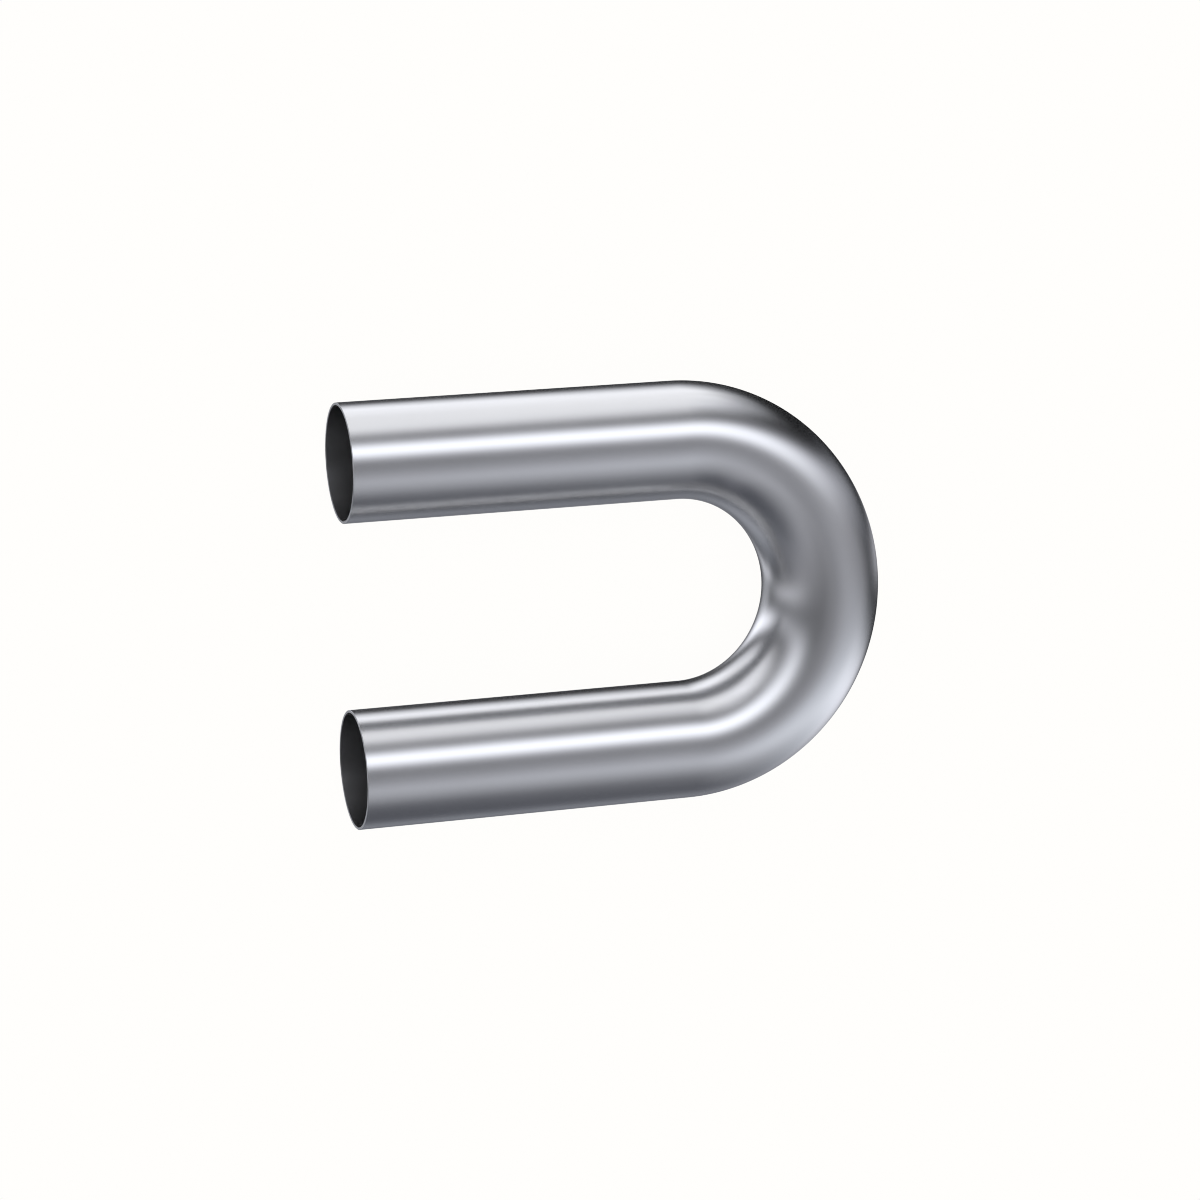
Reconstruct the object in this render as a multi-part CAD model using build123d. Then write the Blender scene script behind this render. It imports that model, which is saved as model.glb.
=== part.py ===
"""Return bend: one length of thin-walled round steel tube, bent on a mandrel through a half turn,
with two equal straight legs left on it.

The tube lies flat, as it comes to rest. The bend's plane is horizontal, the legs point along -X and
the bend closes them at +X. The origin is the centre of the bounding box's underside, so the outer
wall touches Z = 0 along both legs and round the bend.

Outside the section is a true circle all the way. Inside, the bore is round too, but round the bend
its centreline is the leg centreline carried BORE_SHIFT further out before it turns. The wall is then
thinner on the outside of the bend, where the metal was stretched, and thicker on the inside, where it
was pushed together, and it passes from one to the other without a step. In the legs it is even.

Both ends are sawn square and deburred, inside and out.
"""
from build123d import *
import math
import os

# driving dimensions, millimetres
TUBE_OD = 63.5          # outside diameter
WALL = 1.5              # wall of the straight tube
BEND_RADIUS = 81.5      # centreline radius of the half turn
LEG = 183.2             # straight length from the tangent line to the sawn end
BORE_SHIFT = 0.2        # how far the bore moves outwards at the middle of the bend
DEBURR_OUT = 0.2        # chamfer round the outside edge of each end
DEBURR_IN = 0.2         # chamfer round the inside edge of each end

R_OUT = TUBE_OD / 2
R_IN = R_OUT - WALL
OVERALL_X = LEG + BEND_RADIUS + R_OUT
END_X = -OVERALL_X / 2              # plane of both sawn ends
TANGENT_X = END_X + LEG             # plane where the legs meet the bend
Z_MID = R_OUT                       # height of the centreline


def centreline(start_x, turn_x):
    """From one end, along a leg, round the half turn and back along the other leg."""
    a = Vector(start_x, BEND_RADIUS, Z_MID)
    b = Vector(turn_x, BEND_RADIUS, Z_MID)
    m = Vector(turn_x + BEND_RADIUS, 0, Z_MID)
    c = Vector(turn_x, -BEND_RADIUS, Z_MID)
    d = Vector(start_x, -BEND_RADIUS, Z_MID)
    return Wire([Edge.make_line(a, b), Edge.make_three_point_arc(b, m, c), Edge.make_line(c, d)])


def round_bar(radius, start_x, turn_x):
    """A solid round bar of that radius along the centreline."""
    path = centreline(start_x, turn_x)
    section = Plane(origin=path @ 0, z_dir=path % 0) * Circle(radius)
    return sweep(section, path=path)


def end_cone(y, r_small, r_big, depth, x_face):
    """Cutter for an inside chamfer: widest at the sawn face, narrowing to the bore along +X."""
    over = 0.5
    slope = (r_big - r_small) / depth
    cone = Cone(r_big + slope * over, r_small, depth + over,
                align=(Align.CENTER, Align.CENTER, Align.MIN))
    return Location((x_face - over, y, Z_MID), (0, 90, 0)) * cone


def end_ring(y, r, depth, x_face):
    """Cutter for an outside chamfer: a ring whose inside is a cone that opens along +X."""
    over = 0.5
    block = Cylinder(r + 2, depth + over, align=(Align.CENTER, Align.CENTER, Align.MIN))
    keep = Cone(r - depth - over, r, depth + over, align=(Align.CENTER, Align.CENTER, Align.MIN))
    return Location((x_face - over, y, Z_MID), (0, 90, 0)) * (block - keep)


outside = round_bar(R_OUT, END_X, TANGENT_X)
inside = round_bar(R_IN, END_X - 5, TANGENT_X + BORE_SHIFT)
tube = outside - inside
for y in (BEND_RADIUS, -BEND_RADIUS):
    tube = tube - end_cone(y, R_IN, R_IN + DEBURR_IN, DEBURR_IN, END_X)
    tube = tube - end_ring(y, R_OUT, DEBURR_OUT, END_X)

solid = tube.solids()[0]
solid.label = "bent_tube"

os.makedirs("parts", exist_ok=True)
export_step(solid, "parts/bent_tube.step")

box = solid.bounding_box()
by_hand = math.pi * (R_OUT**2 - R_IN**2) * (2 * LEG + math.pi * BEND_RADIUS)
print("solids", len(tube.solids()), "valid", solid.is_valid, "faces", len(solid.faces()))
print("box", box.min, box.max)
print("volume", round(solid.volume, 1), "section times length", round(by_hand, 1))
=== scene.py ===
"""Return bend: a satin-polished steel tube bent through a half turn, lying on a pale studio floor.

The tube's skin is modelled here as an even quad mesh on the same dimensions as the solid it stands for,
so that reflections run cleanly along the legs and round the bend. All lengths are metres.
"""
import bmesh
import bpy
import math
from mathutils import Matrix, Vector


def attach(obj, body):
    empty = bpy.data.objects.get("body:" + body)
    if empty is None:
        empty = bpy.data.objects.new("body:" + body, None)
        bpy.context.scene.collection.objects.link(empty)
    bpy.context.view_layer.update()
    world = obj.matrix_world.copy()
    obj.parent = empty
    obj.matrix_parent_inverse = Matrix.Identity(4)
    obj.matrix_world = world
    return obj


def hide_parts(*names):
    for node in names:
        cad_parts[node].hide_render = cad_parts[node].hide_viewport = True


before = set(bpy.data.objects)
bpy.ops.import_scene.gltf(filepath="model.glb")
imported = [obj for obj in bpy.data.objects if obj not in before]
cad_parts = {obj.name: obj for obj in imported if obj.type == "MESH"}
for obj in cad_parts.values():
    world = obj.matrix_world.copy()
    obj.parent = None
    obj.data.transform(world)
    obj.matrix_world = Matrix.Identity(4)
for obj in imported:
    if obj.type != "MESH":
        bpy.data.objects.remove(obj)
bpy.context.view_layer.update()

# ---------------------------------------------------------------- dimensions of the tube
R_OUT = 0.03175          # outside radius
WALL = 0.0015
R_IN = R_OUT - WALL
BEND = 0.0815            # centreline radius of the half turn
LEG = 0.1832             # straight length of each leg
SHIFT = 0.0002           # the bore's turn lies this much further out
DEBURR = 0.0002          # chamfer at the lips
END_X = -(LEG + BEND + R_OUT) / 2
TAN_X = END_X + LEG
Z_MID = R_OUT
AROUND, ROUND_BEND, DOWN_LEG = 192, 160, 16

# ---------------------------------------------------------------- camera
# The photograph's viewpoint: well above the part, a little to the open ends' side, with a long lens.
cam_data = bpy.data.cameras.new("camera")
cam = bpy.data.objects.new("camera", cam_data)
bpy.context.scene.collection.objects.link(cam)
right = Vector((0.95465461, -0.03689156, 0.29542102))
down = Vector((-0.07877458, -0.98822747, 0.13115269))
ahead = Vector((0.28710474, -0.14847718, -0.94632203))
EYE = Vector((-0.585519, 0.296429, 1.932149))
cam.matrix_world = Matrix((
    (right.x, -down.x, -ahead.x, EYE.x),
    (right.y, -down.y, -ahead.y, EYE.y),
    (right.z, -down.z, -ahead.z, EYE.z),
    (0, 0, 0, 1)))
cam_data.sensor_width = 36.0
cam_data.lens = 112.515
cam_data.clip_start, cam_data.clip_end = 0.05, 100.0
bpy.context.scene.camera = cam
view_axes = Matrix((
    (right.x, -down.x, -ahead.x),
    (right.y, -down.y, -ahead.y),
    (right.z, -down.z, -ahead.z)))


# ---------------------------------------------------------------- node helpers
def tree_of(owner):
    owner.use_nodes = True
    t = owner.node_tree
    t.nodes.clear()
    return t


def node(t, kind, **settings):
    n = t.nodes.new(kind)
    for k, v in settings.items():
        setattr(n, k, v)
    return n


def put(t, socket, value):
    if isinstance(value, bpy.types.NodeSocket):
        t.links.new(value, socket)
    else:
        socket.default_value = value


def maths(t, op, *values):
    n = node(t, "ShaderNodeMath", operation=op)
    for i, v in enumerate(values):
        put(t, n.inputs[i], v)
    return n.outputs[0]


def vmath(t, op, *values):
    n = node(t, "ShaderNodeVectorMath", operation=op)
    for i, v in enumerate(values):
        put(t, n.inputs[i], v)
    return n.outputs["Value" if op == "DOT_PRODUCT" else "Vector"]


# ---------------------------------------------------------------- the tube's skin
def stations(turn_x, start_x):
    """Points along the centreline: (x, y, outward direction, run length), from end A round to end B."""
    rows, run = [], 0.0
    leg = turn_x - start_x
    for i in range(DOWN_LEG):
        rows.append((start_x + leg * i / DOWN_LEG, BEND, (0.0, 1.0), leg * i / DOWN_LEG))
    for i in range(ROUND_BEND + 1):
        a = math.pi * i / ROUND_BEND
        rows.append((turn_x + BEND * math.sin(a), BEND * math.cos(a),
                     (math.sin(a), math.cos(a)), leg + BEND * a))
    for i in range(1, DOWN_LEG + 1):
        rows.append((turn_x - leg * i / DOWN_LEG, -BEND, (0.0, -1.0),
                     leg + BEND * math.pi + leg * i / DOWN_LEG))
    return rows


verts, coords, faces, mats = [], [], [], []
OUTER, RIM, BORE = 0, 1, 2


def ring(x, y, out, run, r):
    """One ring of points of radius r square to the centreline."""
    first = len(verts)
    for k in range(AROUND):
        a = 2 * math.pi * k / AROUND
        c, s = math.cos(a), math.sin(a)
        verts.append((x + out[0] * r * c, y + out[1] * r * c, Z_MID + r * s))
        coords.append((run, r * c, r * s))
    return first


def skin(a, b, material, flip=False):
    for k in range(AROUND):
        j = (k + 1) % AROUND
        q = (a + k, a + j, b + j, b + k)
        faces.append(q[::-1] if flip else q)
        mats.append(material)


out_rows = stations(TAN_X, END_X)
in_rows = stations(TAN_X + SHIFT, END_X)
total = out_rows[-1][3]


def lip(row, depth, r):
    """A ring of the lip, depth in from the sawn end."""
    x, y, out, run = row
    return ring(END_X + depth, y, out, depth if run < 0.1 else total - depth, r)


# outside wall: from just behind the lip of end A to just behind the lip of end B
outer = [lip(out_rows[0], DEBURR, R_OUT)]
outer += [ring(*row, R_OUT) for row in out_rows[1:-1]]
outer += [lip(out_rows[-1], DEBURR, R_OUT)]
inner = [lip(in_rows[0], DEBURR, R_IN)]
inner += [ring(*row, R_IN) for row in in_rows[1:-1]]
inner += [lip(in_rows[-1], DEBURR, R_IN)]
for a, b in zip(outer, outer[1:]):
    skin(a, b, OUTER)
for a, b in zip(inner, inner[1:]):
    skin(a, b, BORE, flip=True)
for k, (row, end_out, end_in) in enumerate(((out_rows[0], outer[0], inner[0]), (out_rows[-1], outer[-1], inner[-1]))):
    # outside chamfer and sawn face, bare, then the inside chamfer, as dull as the bore
    r1 = lip(row, 0.0, R_OUT - DEBURR)
    r2 = lip(row, 0.0, (R_OUT + R_IN) / 2)
    r3 = lip(row, 0.0, R_IN + DEBURR)
    for a, b in ((end_out, r1), (r1, r2), (r2, r3)):
        skin(a, b, RIM, flip=(k == 0))
    skin(r3, end_in, BORE, flip=(k == 0))

mesh = bpy.data.meshes.new("steel_tube")
mesh.from_pydata(verts, [], faces)
mesh.polygons.foreach_set("material_index", mats)
mesh.polygons.foreach_set("use_smooth", [True] * len(faces))
# the tube laid out straight: run length, and the place across the section. The finish follows it.
laid = mesh.attributes.new("laid_out", "FLOAT_VECTOR", "POINT")
laid.data.foreach_set("vector", [c for v in coords for c in v])
mesh.update()
# sharp edges where the lip's bands meet, so that each keeps its own shade
sharp = set()
for end in (0, -1):
    for start in (outer[end], inner[end]):
        sharp.update((min(start + k, start + (k + 1) % AROUND), max(start + k, start + (k + 1) % AROUND)) for k in range(AROUND))
first_lip = inner[-1] + AROUND
for band in range(6):
    if band % 3 == 1:
        continue
    start = first_lip + band * AROUND
    sharp.update((min(start + k, start + (k + 1) % AROUND), max(start + k, start + (k + 1) % AROUND)) for k in range(AROUND))
for e in mesh.edges:
    if (min(e.vertices), max(e.vertices)) in sharp:
        e.use_edge_sharp = True

tube = bpy.data.objects.new("steel_tube", mesh)
bpy.context.scene.collection.objects.link(tube)


# ---------------------------------------------------------------- finishes
def steel(name, colour, spread, rough, rough_spread, grain, lines, edge=1.0, dull=0.0):
    """Bare steel. grain is the depth of the fine polishing marks, lines how many times finer they are along the
    tube than round it, edge how much of its gloss is left at grazing angles, and dull how much of it is a grey skin
    that only scatters light."""
    m = bpy.data.materials.new(name)
    t = tree_of(m)
    out = node(t, "ShaderNodeOutputMaterial")
    bsdf = node(t, "ShaderNodeBsdfPrincipled")
    t.links.new(bsdf.outputs[0], out.inputs["Surface"])
    bsdf.inputs["Metallic"].default_value = 1.0 - dull
    bsdf.distribution = "GGX"
    place = node(t, "ShaderNodeAttribute", attribute_name="laid_out").outputs["Vector"]
    # slow clouding of the polish
    cloud = node(t, "ShaderNodeTexNoise", noise_dimensions="3D")
    put(t, cloud.inputs["Vector"], place)
    cloud.inputs["Scale"].default_value = 22.0
    cloud.inputs["Detail"].default_value = 3.0
    cloud.inputs["Roughness"].default_value = 0.55
    # fine marks round the tube, left by the polishing belt
    stretch = vmath(t, "MULTIPLY", place, (lines, 1.0, 1.0))
    marks = node(t, "ShaderNodeTexNoise", noise_dimensions="3D")
    put(t, marks.inputs["Vector"], stretch)
    marks.inputs["Scale"].default_value = 260.0
    marks.inputs["Detail"].default_value = 4.0
    marks.inputs["Roughness"].default_value = 0.6
    # colour
    tone = node(t, "ShaderNodeMapRange")
    put(t, tone.inputs["Value"], cloud.outputs["Fac"])
    tone.inputs["From Min"].default_value, tone.inputs["From Max"].default_value = 0.3, 0.7
    tone.inputs["To Min"].default_value, tone.inputs["To Max"].default_value = 1 - spread, 1 + spread
    base = node(t, "ShaderNodeVectorMath", operation="SCALE")
    base.inputs[0].default_value = colour
    put(t, base.inputs["Scale"], tone.outputs["Result"])
    bsdf.inputs["Specular Tint"].default_value = (edge, edge, edge, 1.0)
    t.links.new(base.outputs["Vector"], bsdf.inputs["Base Color"])
    # roughness from both
    both = maths(t, "ADD", maths(t, "MULTIPLY", cloud.outputs["Fac"], 0.6), maths(t, "MULTIPLY", marks.outputs["Fac"], 0.4))
    gloss = node(t, "ShaderNodeMapRange")
    put(t, gloss.inputs["Value"], both)
    gloss.inputs["From Min"].default_value, gloss.inputs["From Max"].default_value = 0.3, 0.7
    gloss.inputs["To Min"].default_value, gloss.inputs["To Max"].default_value = rough - rough_spread, rough + rough_spread
    t.links.new(gloss.outputs["Result"], bsdf.inputs["Roughness"])
    bump = node(t, "ShaderNodeBump")
    bump.inputs["Strength"].default_value = 1.0
    bump.inputs["Distance"].default_value = grain
    put(t, bump.inputs["Height"], marks.outputs["Fac"])
    t.links.new(bump.outputs["Normal"], bsdf.inputs["Normal"])
    return m


mesh.materials.append(steel("steel_polished", (0.580, 0.580, 0.583), 0.012, 0.261, 0.010, 0.0000006, 9.0))
mesh.materials.append(steel("steel_sawn_rim", (0.580, 0.580, 0.583), 0.03, 0.36, 0.04, 0.000002, 1.0))
# the bore: partly the tube's own duller, unpolished inside, partly painted shade; its colour is darkened and its gloss
# at grazing angles taken away to stand for the dark inside of the tube
mesh.materials.append(steel("steel_bore", (0.360, 0.360, 0.363), 0.03, 0.35, 0.02, 0.000001, 2.0, edge=0.0, dull=0.015))

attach(tube, "root")
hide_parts("bent_tube")

# ---------------------------------------------------------------- studio
# Soft windows of light a long way off round the part, as the polished steel shows them. Each lies at az, el
# (degrees): az from the camera round to the right, el up the picture. roll tips it, a and b are its half
# length and half height, and p and q say how square its edges are (2 is a soft glow, 8 almost a box).
# A cap is round, a strip is straight, and a belt keeps level as it goes round.
WINDOWS = [
    # kind, name, az, el, roll, a, b, p, q, (red, green, blue)
    ("belt", "ceiling_front", -35.52, 53.66, 8.79, 29.6, 18.76, 9.63, 2.73, (1.390, 1.407, 1.488)),
    ("belt", "key", 25.14, 17.93, -1.29, 39.88, 11.34, 2.38, 2.56, (1.961, 2.015, 2.167)),
    ("belt", "key_tail", 85.0, 22.7, -3.75, 48.47, 7.92, 3.09, 3.13, (0.521, 0.534, 0.588)),
    ("belt", "rim_key", -128.66, 18.87, 0.06, 35.45, 7.47, 4.06, 2.1, (1.248, 1.270, 1.372)),
    ("belt", "rim_tail", -69.13, 13.73, -3.63, 73.33, 6.92, 8.66, 2.5, (0.704, 0.717, 0.776)),
    ("belt", "fill", 123.65, -24.62, 3.69, 34.72, 9.86, 3.01, 2.28, (0.794, 0.799, 0.863)),
    ("belt", "fill_low", 92.23, -30.5, -0.2, 50.55, 16.91, 4.22, 2.54, (0.549, 0.585, 0.638)),
    ("belt", "low_left", -138.5, -11.06, -0.68, 24.1, 4.5, 2.01, 3.43, (0.660, 0.671, 0.724)),
    ("belt", "mid_left", -69.99, -8.12, -6.04, 39.45, 6.14, 2.34, 1.2, (1.039, 1.055, 1.134)),
    ("cap", "back", -179.03, -0.35, 0.0, 13.71, 0.0, 5.51, 0.0, (0.150, 0.152, 0.163)),
    ("belt", "line_right", 147.88, 3.36, 4.16, 24.75, 3.64, 1.56, 2.61, (0.547, 0.552, 0.600)),
    ("belt", "floor_left", -137.62, -41.43, -5.81, 60.19, 18.51, 1.96, 1.81, (0.369, 0.384, 0.418)),
    ("belt", "floor_mid", -15.99, -26.32, 0.14, 47.5, 18.16, 3.25, 2.66, (0.315, 0.318, 0.343)),
    ("belt", "band_left", 22.97, 32.78, -19.18, 29.87, 31.01, 1.2, 12.0, (0.240, 0.241, 0.256)),
    ("cap", "base_low", 175.6, -82.72, 0.0, 69.65, 0.0, 12.0, 0.0, (0.112, 0.117, 0.139)),
    ("belt", "low_right", 55.12, -48.8, -1.46, 75.07, 17.05, 4.35, 3.26, (0.273, 0.277, 0.290)),
    ("cap", "side_right", 64.44, -9.41, 0.0, 40.54, 0.0, 4.24, 0.0, (0.320, 0.322, 0.350)),
    ("belt", "ceiling_back", -173.25, 60.99, -22.94, 25.54, 17.68, 1.2, 8.7, (0.703, 0.714, 0.762)),
    ("belt", "ceiling_right", 107.12, 55.11, -2.54, 69.55, 7.0, 12.0, 3.95, (0.373, 0.383, 0.411)),
    ("cap", "rim_glow", -137.78, 6.78, 0.0, 18.78, 0.0, 5.08, 0.0, (0.454, 0.465, 0.501)),
    ("belt", "ceiling_left", -121.22, 46.39, -11.02, 34.06, 8.14, 3.39, 2.81, (1.100, 1.116, 1.191)),
    ("strip", "skylight_right", 74.09, 77.17, 15.2, 30.65, 11.75, 10.32, 3.77, (1.346, 1.356, 1.403)),
    ("strip", "skylight_left", -117.22, 61.62, -18.4, 32.08, 9.73, 6.63, 6.7, (1.145, 1.155, 1.212)),
    ("belt", "ceiling_high_right", 88.51, 62.91, 3.78, 33.76, 5.43, 11.45, 1.2, (0.984, 0.996, 1.065)),
    ("cap", "ceiling_spot", 5.47, 47.67, 0.0, 8.65, 0.0, 12.0, 0.0, (0.605, 0.612, 0.652)),
    ("belt", "ceiling_middle", -2.47, 68.1, -2.22, 14.89, 16.92, 12.0, 9.22, (0.641, 0.649, 0.689)),
    ("belt", "ceiling_far", 160.97, 62.39, -4.9, 21.26, 3.2, 12.0, 1.2, (0.882, 0.889, 0.931)),
    ("belt", "underside", 36.81, -98.9, 12.31, 6.06, 49.48, 8.27, 1.3, (0.485, 0.489, 0.528)),
    ("strip", "ceiling_streak", 42.04, 49.58, 6.94, 19.88, 5.62, 9.25, 3.26, (0.228, 0.232, 0.244)),
    ("cap", "ceiling_glow", -150.71, 77.27, 0.0, 7.06, 0.0, 1.21, 0.0, (1.338, 1.355, 1.450)),
    ("belt", "fill_far", 152.76, -15.03, 8.21, 30.28, 5.49, 3.39, 3.74, (0.383, 0.388, 0.421)),
    ("cap", "low_left_spot", -122.96, -14.29, 0.0, 6.98, 0.0, 2.54, 0.0, (0.391, 0.396, 0.426)),
    ("belt", "line_high_right", 103.47, 10.67, -6.24, 34.52, 3.6, 1.2, 5.31, (0.161, 0.165, 0.186)),
]


def window_light(window):
    """One window as a function: direction in the photograph's own axes (right, up, towards) -> its light."""
    kind, name, az, el, roll, a, b, p, q, colour = window
    turn, lift, tip = math.radians(az), math.radians(el), math.radians(roll)
    a, b = math.radians(a), math.radians(b)
    c, s = math.cos(tip), math.sin(tip)
    level = Vector((math.cos(turn), 0.0, -math.sin(turn)))
    if kind == "belt":
        facing = Vector((math.sin(turn), 0.0, math.cos(turn)))

        def strength(d):
            x, y = math.atan2(d.dot(level), d.dot(facing)), math.asin(max(-1.0, min(1.0, d.y))) - lift
            return (abs(x * c + y * s) / a) ** p + (abs(y * c - x * s) / b) ** q
    else:
        middle = Vector((math.sin(turn) * math.cos(lift), math.sin(lift), math.cos(turn) * math.cos(lift)))
        upright = middle.cross(level)
        along, across = level * c + upright * s, upright * c - level * s
        if kind == "cap":
            def strength(d):
                return (math.acos(max(-1.0, min(1.0, d.dot(middle)))) / a) ** p
        else:
            def strength(d):
                x, y = math.atan2(d.dot(along), d.dot(middle)), math.asin(max(-1.0, min(1.0, d.dot(across))))
                return (abs(x) / a) ** p + (abs(y) / b) ** q
    return strength, colour


def dome():
    bm = bmesh.new()
    bmesh.ops.create_icosphere(bm, subdivisions=7, radius=60.0)
    me = bpy.data.meshes.new("studio_dome")
    bm.to_mesh(me)
    bm.free()
    lights = [window_light(w) for w in WINDOWS]
    shades = []
    for v in me.vertices:
        d = v.co.normalized()
        red = green = blue = 0.0
        for strength, (r, g, b) in lights:
            fall = strength(d)
            if fall < 12.0:
                k = math.exp(-fall)
                red, green, blue = red + r * k, green + g * k, blue + b * k
        shades += (red, green, blue, 1.0)
    glow = me.color_attributes.new("glow", "FLOAT_COLOR", "POINT")
    glow.data.foreach_set("color", shades)
    m = bpy.data.materials.new("studio_lights")
    t = tree_of(m)
    emit = node(t, "ShaderNodeEmission")
    t.links.new(node(t, "ShaderNodeAttribute", attribute_name="glow").outputs["Color"], emit.inputs["Color"])
    emit.inputs["Strength"].default_value = 1.0
    t.links.new(emit.outputs[0], node(t, "ShaderNodeOutputMaterial").inputs["Surface"])
    m.cycles.emission_sampling = "NONE"
    me.materials.append(m)
    o = bpy.data.objects.new("studio_dome", me)
    bpy.context.scene.collection.objects.link(o)
    o.matrix_world = Matrix.Translation((0.0, 0.0, 0.03)) @ view_axes.to_4x4()
    # only polished surfaces see it
    o.visible_camera = o.visible_diffuse = o.visible_transmission = o.visible_volume_scatter = o.visible_shadow = False
    o.visible_glossy = True
    return o


def light_left_by_painted_shadow(t, core_starts, past_end=0.0):
    """How much of the floor's light is left beside the tube under a painted contact shadow. The tube hides R * R / (R *
    R + d * d) of the sky at a distance d from the line that it rests on, and the painted shadow is darkest in the
    narrow wedge under it, which reaches past_end beyond the sawn ends."""
    place = node(t, "ShaderNodeNewGeometry").outputs["Position"]
    split = node(t, "ShaderNodeSeparateXYZ")
    put(t, split.inputs[0], place)
    x, y = split.outputs["X"], split.outputs["Y"]
    ahead_x = maths(t, "MAXIMUM", maths(t, "SUBTRACT", x, TAN_X), 0.0)
    round_bend = maths(t, "SQRT", maths(t, "ADD", maths(t, "MULTIPLY", ahead_x, ahead_x), maths(t, "MULTIPLY", y, y)))
    aside = maths(t, "SUBTRACT", round_bend, BEND)
    square = maths(t, "ADD", maths(t, "MULTIPLY", aside, aside), R_OUT ** 2)
    hidden = maths(t, "DIVIDE", R_OUT ** 2, square)
    # the tube ends there: half as much is hidden under its sawn end, and less beyond it
    inside = maths(t, "SUBTRACT", x, END_X - past_end)
    aside2 = maths(t, "MULTIPLY", aside, aside)
    reach = maths(t, "SQRT", maths(t, "ADD", maths(t, "MULTIPLY", inside, inside), maths(t, "ADD", aside2, 1e-8)))
    along = maths(t, "DIVIDE", inside, reach)
    covered = maths(t, "MULTIPLY", maths(t, "ADD", along, 1.0), 0.5)
    soft = maths(t, "MULTIPLY", maths(t, "POWER", maths(t, "MULTIPLY", hidden, covered), 2.0), SOFT_SHADOW)
    near = maths(t, "MULTIPLY", maths(t, "MAXIMUM", maths(t, "SUBTRACT", hidden, core_starts), 0.0), 1.0 / (1.0 - core_starts))
    core = maths(t, "MULTIPLY", maths(t, "POWER", near, 1.3), maths(t, "MAXIMUM", along, 0.0))
    return maths(t, "SUBTRACT", 1.0, maths(t, "ADD", soft, maths(t, "MULTIPLY", core, CORE_SHADOW)))


# painted contact shadow on the floor: the studio's light reaches the floor from low down too, so only the part close to
# the tube is painted much darker
SOFT_SHADOW, CORE_SHADOW = 0.03, 0.90


def disc(name, radius, material):
    me = bpy.data.meshes.new(name)
    n = 64
    me.from_pydata([(radius * math.cos(2 * math.pi * i / n), radius * math.sin(2 * math.pi * i / n), 0.0) for i in range(n)],
                   [], [tuple(range(n))])
    me.materials.append(material)
    o = bpy.data.objects.new(name, me)
    bpy.context.scene.collection.objects.link(o)
    return o


def floor():
    """Pale floor, lit evenly by its own glow but for the tube's contact shadow, which is painted into that glow."""
    m = bpy.data.materials.new("studio_floor")
    t = tree_of(m)
    emit = node(t, "ShaderNodeEmission")
    emit.inputs["Color"].default_value = (1.0, 0.991, 0.974, 1.0)
    # painted contact shadow: the floor's glow is dimmed beside the tube
    put(t, emit.inputs["Strength"], light_left_by_painted_shadow(t, 0.655))
    t.links.new(emit.outputs[0], node(t, "ShaderNodeOutputMaterial").inputs["Surface"])
    m.cycles.emission_sampling = "NONE"
    o = disc("studio_floor", 30.0, m)
    o.visible_glossy = False
    return o


def painted_shadow_pane_for_steel():
    """The darkest part of the contact shadow as the tube's underside mirrors it, painted: a clear pane in the floor,
    seen only in the steel's reflections, that takes the studio's light away there as a painted dark reflection."""
    m = bpy.data.materials.new("studio_floor_shadow")
    t = tree_of(m)
    pane = node(t, "ShaderNodeBsdfTransparent")
    # painted shadow in the reflections: the pane lets less of the studio's light through near the tube
    put(t, pane.inputs["Color"], maths(t, "POWER", light_left_by_painted_shadow(t, 0.80, past_end=0.006), 2.2))
    t.links.new(pane.outputs[0], node(t, "ShaderNodeOutputMaterial").inputs["Surface"])
    o = disc("studio_floor_shadow", 0.6, m)
    o.visible_camera = o.visible_diffuse = o.visible_transmission = o.visible_volume_scatter = o.visible_shadow = False
    return o


dome()
floor()
painted_shadow_pane_for_steel()

world = bpy.data.worlds.new("studio_air")
bpy.context.scene.world = world
wt = tree_of(world)
air = node(wt, "ShaderNodeBackground")
air.inputs["Color"].default_value = (1.0, 0.991, 0.974, 1.0)
air.inputs["Strength"].default_value = 1.0
wt.links.new(air.outputs[0], node(wt, "ShaderNodeOutputWorld").inputs["Surface"])
world.cycles_visibility.glossy = False

scene = bpy.context.scene
scene.view_settings.view_transform = "Standard"
scene.view_settings.look = "None"
scene.view_settings.exposure = 0.0
scene.view_settings.gamma = 1.0
scene.cycles.filter_width = 1.0
